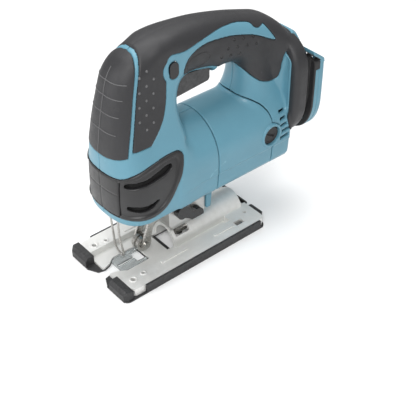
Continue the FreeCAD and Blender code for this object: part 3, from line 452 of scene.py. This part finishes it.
def band_region(s):
    """The rubber band beside the battery mount; a blue wedge stays between it and the neck."""
    inner_edge = 31.5 - 13 * step_up(144, 160, s.z) - 14 * step_up(92, 76, s.z)
    return np.maximum(region(s, BAND, 2), inner_edge + s.y)


def insert_region(s):
    """The dark lining of the battery groove and the plate at the head of the flange."""
    deep = np.maximum(DEEP[0] - s.x, s.x - DEEP[1])
    plate = np.maximum(np.maximum(PLATE[0] - s.x, s.x - PLATE[1]), PLATE[2] - s.z)
    return np.maximum(np.minimum(deep, plate), s.z + ROOF_SLOPE * (s.x - FLANGE_BACK) - INSERT_FALL)


def rear_vents(s):
    """Five slots beside the brush cap, tilted a little."""
    vents = np.full(np.broadcast(s.x, s.z).shape, 99.0, np.float32)
    for z, end in VENTS:
        tilted = s.z - VENT_TILT * (s.x - 67)
        across = np.abs(s.x - (VENT_FRONT + end) / 2) - (end - VENT_FRONT) / 2
        vents = np.minimum(vents, np.maximum(across, np.abs(tilted - z) - VENT_HALF))
    return np.maximum(vents, s.y + 24)


def battery_room(s):
    """The pocket for the battery's neck, and the channels of its rails."""
    pocket_back = np.maximum(np.maximum(POCKET_FRONT - s.x, -POCKET_HALF - s.y), POCKET_FLOOR - s.z)
    rails = np.maximum(np.maximum(np.abs(s.x - RAIL_X) - 2, -RAIL_HALF - s.y), POCKET_FLOOR - s.z)
    return np.minimum(pocket_back, rails)


def case_openings(s):
    """The motor housing's place, the slots and the room inside."""
    motor = np.maximum(MOTOR_FRONT - s.x, -region(s, REAR_SEAM, 1))
    motor = np.maximum(motor, s.z - MOTOR_TOP)
    yield np.minimum(motor, np.hypot(s.x - BRUSH_X, s.z - BRUSH_Z) - (CAP_RING + 0.3))
    yield rear_vents(s)
    yield slot_box(s, *BUTTON_SLOT)
    yield np.maximum(slot_box(s, *TRIGGER_SLOT), -TRIGGER_HALF - s.y)
    for (x0, x1), y0, (z0, z1) in INNER_ROOM:
        yield np.maximum(slot_box(s, x0, x1, z0, z1, 1.0), y0 - s.y)
    yield battery_room(s)


def make_case():
    """The left half of the case and its coverings; the right half mirrors them."""
    s = Space((-95, -42, 50), (106, 1.2, 200.5))
    body, core, flange = body_form(s)
    half = s.y + SEAM
    opener = cover_gap(s)
    cover_area, pad_area = region(s, VENT_COVER, 1), region(s, PAD, 1)
    band_area = band_region(s)
    grip_area = np.minimum(np.maximum(region(s, GRIP, 1), 124 - s.z + 0 * s.y), band_area)
    grip_area = np.maximum(grip_area, BUTTON_RIM - np.hypot(s.x - BUTTON[0], s.z - BUTTON[1]))
    grip = np.maximum(covering(s, body, grip_area), s.y - 0.5)

    sunk = body - 0.5 + 1.5 * step_up(0.8, -0.8, region(s, COVER_INNER, 2))
    cover = covering(s, sunk, np.maximum(cover_area, -opener + 0.15), depth=2.2)
    slots = np.minimum(region(s, UPPER_SLOT, 2), region(s, LOWER_SLOT, 2))
    cover = np.maximum(cut(cover, slots), half)
    # Painted shade: a near-black sheet 4 to 5 mm inside the case, behind the vent slots, stands in for the
    # shade seen through them.
    painted_shade_sheet = np.maximum(np.maximum(np.abs(body + 4.6) - 0.7, slots - 3.5), half)

    lip = LIP_H * np.exp(-((band_area - LIP_AT) / 0.8) ** 2) * step_up(84, 90, s.z) * step_up(60, 64, s.x)
    case = smax(body - lip, -(body + SHELL), 0.4)
    rear_block = np.maximum(smin(core, flange, 1.0), 84 - s.x)
    insert_zone = insert_region(s)
    insert = np.maximum(np.maximum(rear_block, insert_zone), half)
    case = cut(np.minimum(case, np.maximum(rear_block, 80 - s.x)), insert_zone + 0.1)
    groove_line = np.maximum(np.abs(s.x - 97.3) - 0.45, s.z - 139) + 0 * s.y
    case = cut(case, np.maximum(groove_line, -(flange + 0.9)))
    for area in (grip_area, cover_area + 0 * s.y, pad_area):
        case = cut(case, pocket(body, area))
    case = cut(cut(case, slots - 0.8 + 0 * s.y), opener - 0.4)
    for opening in case_openings(s):
        case = cut(case, opening)
    case = np.maximum(case, half)
    insert = cut(insert, battery_room(s))
    fields = {"housing": case, "grip": grip, "vent_cover": cover}
    fields |= {"vent_painted_shade": painted_shade_sheet, "mount_insert": insert}
    return s, fields


def make_pad():
    """The rubber front pad, with two small sunk marks."""
    s = Space((-94, -26, 116), (-48, 26, 200.5))
    body = body_form(s)[0]
    body = body + pits(s, [(-76.4, 184.7), (-80.7, 157.8)], 0.8, 0.6)
    return s, covering(s, body, region(s, PAD, 1))


def make_opener():
    """The front door between the vent covers, with two sunk lines that cross."""
    s = Space((-94, -22, 68), (-78, 22, 108))
    body = body_form(s)[0]
    step = 0.45 * step_up(88.2, 89.0, s.z)
    lines = 0.45 * np.exp(-(s.y / 0.5) ** 2) + 0.45 * np.exp(-((s.z - 88.6) / 0.45) ** 2)
    body = body + lines - 0.25 * step
    area = slot_box(s, -140, -60, OPENER_Z[0], OPENER_Z[1], 1.0)
    area = np.maximum(area + 0 * s.y, np.abs(s.y) - OPENER_HALF)
    return s, covering(s, body, area, depth=2.8)


def make_motor_housing():
    """The middle section, with a raised ring round each brush cap."""
    s = Space((-6, -36, 51), (66.5, 36, 124.5))
    body = body_form(s)[0]
    front = MOTOR_FRONT + 0.95 - s.x
    rear = -(region(s, REAR_SEAM, 1) - 0.8)
    boss = np.hypot(s.x - BRUSH_X, s.z - BRUSH_Z)
    zone = np.maximum(np.minimum(np.maximum(front, rear), boss - CAP_RING), s.z - MOTOR_TOP + 0.2)
    shell = smax(body, zone + 0 * body, 0.7)
    shell = np.maximum(shell, -(body + SHELL))
    ring = smax(boss - CAP_RING, np.abs(s.y) - 33.9, 0.8)
    ring = np.maximum(ring, CAP_SEAT_Y - np.abs(s.y))
    bore = np.maximum(boss - CAP_BORE, CAP_SEAT_Y - 1.5 - np.abs(s.y))
    return s, cut(np.minimum(shell, ring), bore)


# ---- materials --------------------------------------------------------------------------------------
def srgb(r, g, b):
    """Linear colour from the everyday 0-255 one."""
    parts = [c / 255 for c in (r, g, b)]
    return tuple((c / 12.92) if c <= 0.04045 else ((c + 0.055) / 1.055) ** 2.4 for c in parts)


def material(name, colour, rough=0.4, metal=0.0, vary=0.05, scale=60.0, grain=900.0, bump=0.05,
             rough_vary=0.08, worn=None, stretch=(1, 1, 1), transmission=0.0):
    """A moulded or machined surface: slow colour drift, fine grain, uneven gloss, paler worn edges."""
    mat = bpy.data.materials.new(name)
    mat.use_nodes = True
    nodes, links = mat.node_tree.nodes, mat.node_tree.links
    bsdf = nodes["Principled BSDF"]
    bsdf.inputs["Metallic"].default_value = metal
    bsdf.inputs["Coat Weight"].default_value = 0.0
    bsdf.inputs["Transmission Weight"].default_value = transmission
    bsdf.inputs["IOR"].default_value = 1.46
    where = nodes.new("ShaderNodeTexCoord")
    stretched = nodes.new("ShaderNodeMapping")
    stretched.inputs["Scale"].default_value = stretch
    links.new(where.outputs["Object"], stretched.inputs["Vector"])

    def noise(size, detail):
        node = nodes.new("ShaderNodeTexNoise")
        node.inputs["Scale"].default_value = size
        node.inputs["Detail"].default_value = detail
        links.new(stretched.outputs["Vector"], node.inputs["Vector"])
        return node.outputs["Fac"]

    def ramp(source, low, high):
        node = nodes.new("ShaderNodeMapRange")
        node.inputs["From Min"].default_value = 0.3
        node.inputs["From Max"].default_value = 0.7
        node.inputs["To Min"].default_value = low
        node.inputs["To Max"].default_value = high
        links.new(source, node.inputs["Value"])
        return node.outputs["Result"]

    slow = noise(scale, 4)
    mix = nodes.new("ShaderNodeMix")
    mix.data_type = "RGBA"
    mix.inputs["A"].default_value = (*[c * (1 - vary) for c in colour], 1)
    mix.inputs["B"].default_value = (*[min(c * (1 + vary), 1) for c in colour], 1)
    links.new(ramp(slow, 0, 1), mix.inputs["Factor"])
    out = mix.outputs["Result"]
    if worn:
        edge = nodes.new("ShaderNodeNewGeometry")
        sharp = nodes.new("ShaderNodeMapRange")
        sharp.inputs["From Min"].default_value = 0.53
        sharp.inputs["From Max"].default_value = 0.62
        links.new(edge.outputs["Pointiness"], sharp.inputs["Value"])
        wear = nodes.new("ShaderNodeMix")
        wear.data_type = "RGBA"
        wear.inputs["B"].default_value = (*worn, 1)
        gate = nodes.new("ShaderNodeMath")
        gate.operation = "MULTIPLY"
        links.new(sharp.outputs["Result"], gate.inputs[0])
        links.new(ramp(noise(scale * 6, 3), 0.0, 0.55), gate.inputs[1])
        links.new(gate.outputs[0], wear.inputs["Factor"])
        links.new(out, wear.inputs["A"])
        out = wear.outputs["Result"]
    links.new(out, bsdf.inputs["Base Color"])
    links.new(ramp(noise(scale * 3, 5), rough - rough_vary, rough + rough_vary), bsdf.inputs["Roughness"])
    relief = nodes.new("ShaderNodeBump")
    relief.inputs["Strength"].default_value = bump
    relief.inputs["Distance"].default_value = 0.0004
    links.new(noise(grain, 3), relief.inputs["Height"])
    links.new(relief.outputs["Normal"], bsdf.inputs["Normal"])
    return mat


BLUE = material("blue_case", srgb(94, 143, 161), 0.34, vary=0.04, scale=35, grain=2600, bump=0.10,
                worn=srgb(140, 184, 198), rough_vary=0.05)
# Painted shade: the near-black colour of the sheet behind the vent slots, standing in for the shade inside
# the case.
SHADOW = material("painted_shade_black", srgb(16, 16, 16), 0.85, vary=0.15, scale=200, grain=900, bump=0.5)
# Painted highlight: the pad ribs are a lighter grey than the pad rubber, standing in for the light that they
# catch.
RIB_HIGHLIGHT = material("rib_painted_highlight", srgb(92, 92, 93), 0.50, vary=0.08, scale=80, grain=3200, bump=0.25)
# Painted highlight: the grip domes are a lighter grey than the grip rubber, standing in for the highlights
# on them.
STUD_HIGHLIGHT = material("stud_painted_highlight", srgb(98, 98, 99), 0.45, vary=0.08, scale=80, grain=3200, bump=0.25)
RUBBER = material("soft_rubber", srgb(45, 45, 47), 0.48, vary=0.08, scale=50, grain=3200, bump=0.35,
                  rough_vary=0.07, worn=srgb(90, 90, 92))
BLACK = material("black_plastic", srgb(42, 42, 43), 0.36, vary=0.08, scale=60, grain=2500, bump=0.18,
                 worn=srgb(85, 85, 86))
GLOSSY = material("glossy_black", srgb(30, 30, 31), 0.22, vary=0.08, scale=60, grain=1800, bump=0.08)
CAST = material("cast_aluminium", srgb(226, 226, 223), 0.46, metal=0.35, vary=0.05, scale=40, grain=1500,
                bump=0.22, worn=srgb(242, 242, 240), rough_vary=0.1)
CASE_METAL = material("gear_case_metal", srgb(190, 190, 188), 0.42, metal=0.9, vary=0.07, scale=50,
                      grain=900, bump=0.35)
STEEL = material("ground_steel", srgb(186, 184, 180), 0.27, metal=1.0, vary=0.06, scale=90, grain=1600,
                 bump=0.12, stretch=(1, 1, 8))
DARK_STEEL = material("blackened_steel", srgb(58, 56, 54), 0.35, metal=1.0, vary=0.15, scale=120,
                      grain=1500, bump=0.15, worn=srgb(130, 128, 124))
COPPER = material("copper", srgb(190, 112, 70), 0.32, metal=1.0, vary=0.12, scale=90, grain=700, bump=0.4,
                  stretch=(6, 1, 1))
BRASS = material("brass", srgb(196, 160, 92), 0.30, metal=1.0, vary=0.08, scale=90, grain=1200, bump=0.12)
MAGNET = material("magnet", srgb(60, 60, 62), 0.55, metal=0.3, vary=0.1, scale=150, grain=1500, bump=0.3)
CARBON = material("carbon", srgb(34, 34, 36), 0.6, vary=0.15, scale=200, grain=2000, bump=0.3)
MOULDED = material("dark_moulding", srgb(40, 40, 41), 0.55, vary=0.1, scale=90, grain=1800, bump=0.3,
                   worn=srgb(80, 80, 81))
CLEAR = material("clear_plastic", srgb(226, 230, 230), 0.16, vary=0.03, scale=80, grain=500, bump=0.04,
                 transmission=0.75)
BOARD = material("circuit_board", srgb(26, 92, 52), 0.35, vary=0.15, scale=300, grain=400, bump=0.2)

NODE_LOOKS = {
    BLACK: "switch_body terminal_block fan trigger",
    MOULDED: "cover_plate brush_caps",
    GLOSSY: "orbital_lever lock_off_button",
    CASE_METAL: "gear_housing gear_housing_cover",
    STEEL: "armature_shaft armature_core crank_gear crank_pin slider_rod stator_yoke "
           "motor_bearing_front motor_bearing_rear gear_bearing slider_bearing_lower "
           "slider_bearing_upper counterweight fork_bracket fork_pin roller_pin roller_fork wire_guard "
           "clamp_spring brush_springs trigger_pin roller orbital_cam_shaft base_clamp_plate",
    DARK_STEEL: "blade_clamp clamp_sleeve hex_wrench base_bolt gear_housing_screws housing_screws",
    CAST: "base_plate",
    COPPER: "armature_windings commutator",
    BRASS: "brush_holders battery_contacts",
    MAGNET: "magnets",
    CARBON: "carbon_brushes",
    CLEAR: "anti_splinter_insert led_lens",
    BOARD: "controller_board",
    BLUE: "housing_left housing_right motor_housing",
    RUBBER: "grip_left grip_right handle_panel_left handle_panel_right front_pad vent_cover_left "
            "vent_cover_right tool_opener",
}
for look, names in NODE_LOOKS.items():
    for node in names.split():
        NODES[node].data.materials.clear()
        NODES[node].data.materials.append(look)


# ---- small raised and sunk details -------------------------------------------------------------------
def revolve(bm, profile, at, normal, steps=20):
    """Turns a (radius, height) profile about the normal at a place, in millimetres."""
    frame_axes = Vector(normal).to_track_quat("Z", "Y").to_matrix()
    angles = np.linspace(0, 2 * math.pi, steps + 1)[:-1]
    rings = []
    for r, h in profile:
        if r == 0:
            rings.append([bm.verts.new((Vector(at) + frame_axes @ Vector((0, 0, h))) * MM)])
            continue
        ring = [Vector((r * math.cos(a), r * math.sin(a), h)) for a in angles]
        rings.append([bm.verts.new((Vector(at) + frame_axes @ p) * MM) for p in ring])
    for low, high in zip(rings, rings[1:]):
        for k in range(steps):
            j = (k + 1) % steps
            corners = [low[k % len(low)], low[j % len(low)], high[j % len(high)], high[k % len(high)]]
            corners = list(dict.fromkeys(corners))
            if len(corners) > 2:
                bm.faces.new(corners)


def tube(bm, points, radius, closed=False, steps=8):
    """A round bead along a line of (place, normal) pairs, half sunk in the surface."""
    angles = np.linspace(0, 2 * math.pi, steps + 1)[:-1]
    rings = []
    count = len(points)
    for i, (at, normal) in enumerate(points):
        before, after = (points[(i - 1) % count][0], points[(i + 1) % count][0])
        if not closed:
            before, after = points[max(i - 1, 0)][0], points[min(i + 1, count - 1)][0]
        along = (after - before).normalized()
        side = along.cross(normal).normalized()
        up = side.cross(along)
        circle = [radius * (side * math.cos(a) + up * math.sin(a)) for a in angles]
        rings.append([bm.verts.new((at + offset) * MM) for offset in circle])
    pairs = zip(rings, rings[1:] + rings[:1]) if closed else zip(rings, rings[1:])
    for low, high in pairs:
        for k in range(steps):
            bm.faces.new([low[k], low[(k + 1) % steps], high[(k + 1) % steps], high[k]])
    if not closed:
        bm.faces.new(rings[0][::-1])
        bm.faces.new(rings[-1])


def cast(tree, start, direction):
    """Where a ray first meets a surface, and the normal there, or None."""
    at, normal, _, _ = tree.ray_cast(Vector(start) * MM, Vector(direction))
    return (at / MM, normal) if at else None


def tree_of(mesh):
    return BVHTree.FromPolygons([v.co for v in mesh.vertices], [tuple(f.vertices) for f in mesh.polygons])


def make_pad_ribs(pad_mesh):
    """The fine grid of ribs on the front pad: one down the middle and four across."""
    tree, bm = tree_of(pad_mesh), bmesh.new()
    lines = [[cast(tree, (-120, 0, z), (1, 0, 0)) for z in np.arange(118.5, 184, 1.0)]]
    for z in (138.6, 152.0, 164.3, 175.0):
        across = np.arange(-15.5, 15.6, 0.8)
        lines.append([cast(tree, (-120, y, z - 0.05 * abs(y)), (1, 0, 0)) for y in across])
    for line in lines:
        tube(bm, [p for p in line if p], 0.34)
    # The ribs are real beads; their lighter colour is a painted highlight.
    finish_piece(bm, "pad_ribs", RIB_HIGHLIGHT, both=False)


def make_thumb_oval(grip_mesh):
    """The outlined thumb rest on each side of the handle."""
    tree, bm = tree_of(grip_mesh), bmesh.new()
    angles = np.linspace(0, 2 * math.pi, 49)[:-1]
    spots = [(-9.5 + 11.0 * math.cos(a), 171.0 + 5.6 * math.sin(a) + 0.8 * math.cos(a)) for a in angles]
    line = [cast(tree, (x, -70, z), (0, 1, 0)) for x, z in spots]
    tube(bm, [p for p in line if p], 0.3, closed=True)
    finish_piece(bm, "thumb_oval", BLACK)


def make_shoe_bosses():
    """Raised rims round the sight holes in the horns of the shoe."""
    tree, bm = tree_of(NODES["base_plate"].data), bmesh.new()
    for x, y, r in ((-86.0, 26.7, 2.1), (-75.4, 25.7, 1.4)):
        for side in (-1, 1):
            beside = cast(tree, (x + r + 1.2, side * y, 60), (0, 0, -1))
            rim = [(0, -0.3), (0, 0.35), (0.3, 0.6), (1.0, 0.6), (1.4, 0.3), (1.5, -0.3), (0, -0.3)]
            profile = [(r + out, h) for out, h in rim]
            if beside:
                revolve(bm, profile, (x, side * y, beside[0].z), (0, 0, 1), steps=28)
    finish_piece(bm, "shoe_bosses", CAST, "base", "base_metal", both=False)


def make_brush_cap():
    """A recessed screw cap with a diagonal coin slot."""
    s = Space((BRUSH_X - 9.5, -34, BRUSH_Z - 9.5), (BRUSH_X + 9.5, -27, BRUSH_Z + 9.5), 0.3)
    x, z = s.x - BRUSH_X, s.z - BRUSH_Z
    r = np.hypot(x, z) + 0 * s.y
    disc = smax(r - CAP_R, np.abs(s.y + 29.6) - 1.7 - 0.5 * step_up(5.8, 6.4, r), 0.5)
    slot = np.maximum(np.abs(0.55 * x + 0.84 * z) - 0.75, np.abs(0.84 * x - 0.55 * z) - 5.0)
    return s, np.maximum(disc, -np.maximum(slot, s.y + 30.0))


def make_leg():
    """The short leg of the case beside the orbital knob."""
    s = Space((-6.5, -22, 32), (3, -14, 60), 0.4)
    lean = s.x - 0.05 * (s.z - 34)
    body = smax(np.abs(lean + 2.4) - 2.2 - 0.07 * (s.z - 34), np.abs(s.y + 18) - 2.0, 0.8)
    return s, smax(body + 0 * s.z, np.maximum(34 - s.z, s.z - 58), 0.8)


def surface_spots(mesh, spots):
    """Where a line along +Y meets the mesh, and the outward normal there, at each (x, z)."""
    tree = tree_of(mesh)
    for x, z in spots:
        hit = cast(tree, (x, -70, z), (0, 1, 0))
        if hit:
            yield hit


DOME = [(0, 0.52), (0.45, 0.44), (0.82, 0.22), (1.02, 0.0), (1.08, -0.5), (0, -0.5)]
EYELET = [(0, -0.05), (0.55, -0.02), (0.7, 0.2), (0.95, 0.34), (1.2, 0.18), (1.32, -0.05)]
EYELET += [(1.32, -0.5), (0, -0.5)]


def lattice(start, step, row_step, counts):
    """Rows of evenly spaced places; a row starts at its first number and has its second number of places."""
    for row, (first, count) in enumerate(counts):
        for k in range(first, first + count):
            yield tuple(start[i] + k * step[i] + row * row_step[i] for i in (0, 1))


def make_studs(grip_mesh):
    """Grip studs: domes on the column, and open eyelets on the handle."""
    column = lattice((-49.7, 183.5), (-6.6, -3.2), (-1.55, -10.7), ((1, 2), (0, 3), (0, 3), (0, 3), (0, 2)))
    handle = lattice((25.0, 176.1), (9.3, -1.7), (-6.0, -5.2), ((0, 3), (0, 4), (0, 3)))
    # The domes are real bumps; their lighter colour is a painted highlight.
    studs = (("grip_domes", column, DOME, STUD_HIGHLIGHT), ("grip_eyelets", handle, EYELET, GLOSSY))
    for name, spots, profile, look in studs:
        bm = bmesh.new()
        for at, normal in surface_spots(grip_mesh, spots):
            revolve(bm, profile, at, normal)
        finish_piece(bm, name, look)


def finish_piece(bm, name, look, body="body", slot_name="grip_rubber", both=True):
    """Places what was built in bm, and its mirror image where there is one on both sides."""
    mesh = bpy.data.meshes.new(name)
    bmesh.ops.recalc_face_normals(bm, faces=bm.faces)
    for f in bm.faces:
        f.smooth = True
    bm.to_mesh(mesh)
    bm.free()
    place(name + "_left" if both else name, mesh, body, slot_name, look)
    if both:
        place(name + "_right", mirrored(mesh, name + "_r"), body, slot_name, look)


# ---- build the body -------------------------------------------------------------------------------------
def build_body():
    s, fields = make_case()
    looks = {"housing": (BLUE, "blue_plastic"), "grip": (RUBBER, "grip_rubber"),
             # The vent sheet is painted shade, not a part of the tool.
             "vent_cover": (BLACK, "black_plastic"), "vent_painted_shade": (SHADOW, "black_plastic"),
             "mount_insert": (MOULDED, "black_plastic")}
    looks_of_nodes = ("housing", "grip", "vent_cover")
    for name, field in fields.items():
        look, slot_name = looks[name]
        left = s.mesh(field, name + "_l")
        stands_for = {side: ["%s_%s" % (name, side)] for side in ("left", "right") if name in looks_of_nodes}
        if name == "grip":
            make_studs(left)
            make_thumb_oval(left)
            for side in stands_for:
                stands_for[side].append("handle_panel_" + side)
        place(name + "_shell_left", left, "body", slot_name, look, stands_for.get("left", ()))
        right = mirrored(left, name + "_r")
        place(name + "_shell_right", right, "body", slot_name, look, stands_for.get("right", ()))
    s, field = make_pad()
    pad = s.mesh(field, "pad")
    place("front_pad_skin", pad, "body", "grip_rubber", RUBBER, ["front_pad"])
    make_pad_ribs(pad)
    s, field = make_opener()
    place("opener_skin", s.mesh(field, "opener"), "opener", "black_plastic", BLACK, ["tool_opener"])
    s, field = make_motor_housing()
    place("motor_shell", s.mesh(field, "motor"), "body", "blue_plastic", BLUE, ["motor_housing"])
    s, field = make_brush_cap()
    cap = s.mesh(field, "cap")
    place("brush_cap_left", cap, "body", "black_plastic", MOULDED, ["brush_caps"])
    place("brush_cap_right", mirrored(cap, "cap_r"), "body", "black_plastic", MOULDED, ["brush_caps"])
    s, field = make_leg()
    leg = s.mesh(field, "leg")
    place("case_leg_left", leg, "body", "blue_plastic", BLUE)
    place("case_leg_right", mirrored(leg, "leg_r"), "body", "blue_plastic", BLUE)
    make_shoe_bosses()


build_body()


# ---- studio ------------------------------------------------------------------------------------------
def studio():
    floor = bpy.data.meshes.new("floor")
    size = 3.0
    corners = [(-size, -size, 0), (size, -size, 0), (size, size, 0), (-size, size, 0)]
    floor.from_pydata(corners, [], [(0, 1, 2, 3)])
    ground = bpy.data.objects.new("floor", floor)
    ground.location.z = -0.0002
    bpy.context.scene.collection.objects.link(ground)
    paper = bpy.data.materials.new("paper")
    paper.use_nodes = True
    paper.node_tree.nodes["Principled BSDF"].inputs["Base Color"].default_value = (0.97, 0.97, 0.97, 1)
    paper.node_tree.nodes["Principled BSDF"].inputs["Roughness"].default_value = 0.9
    floor.materials.append(paper)

    world = bpy.data.worlds.new("studio")
    world.use_nodes = True
    world.node_tree.nodes["Background"].inputs["Color"].default_value = (1, 1, 1, 1)
    world.node_tree.nodes["Background"].inputs["Strength"].default_value = 0.42
    bpy.context.scene.world = world

    def softbox(name, at, target, size, power):
        light = bpy.data.lights.new(name, "AREA")
        light.shape = "RECTANGLE"
        light.size, light.size_y = size
        light.energy = power
        obj = bpy.data.objects.new(name, light)
        obj.location = at
        obj.rotation_euler = (Vector(target) - Vector(at)).to_track_quat("-Z", "Y").to_euler()
        bpy.context.scene.collection.objects.link(obj)

    softbox("key", (-0.55, -0.60, 0.85), (0, 0, 0.1), (0.45, 0.35), 7)
    softbox("top", (0.1, 0.15, 0.95), (0, 0, 0.1), (0.7, 0.7), 6)
    softbox("front", (-0.9, 0.2, 0.45), (0, 0, 0.1), (0.3, 0.6), 3)


def camera():
    cam = bpy.data.cameras.new("camera")
    obj = bpy.data.objects.new("camera", cam)
    heading, tilt = math.radians(-40.43), math.radians(51.10)
    obj.rotation_euler = (tilt, 0, heading)
    obj.location = (-0.3712, -0.4520, 0.4912)
    cam.sensor_width = 36.0
    cam.lens = 76.82
    cam.clip_start = 0.01
    bpy.context.scene.collection.objects.link(obj)
    bpy.context.scene.camera = obj
    bpy.context.scene.view_settings.view_transform = "Standard"


studio()
camera()
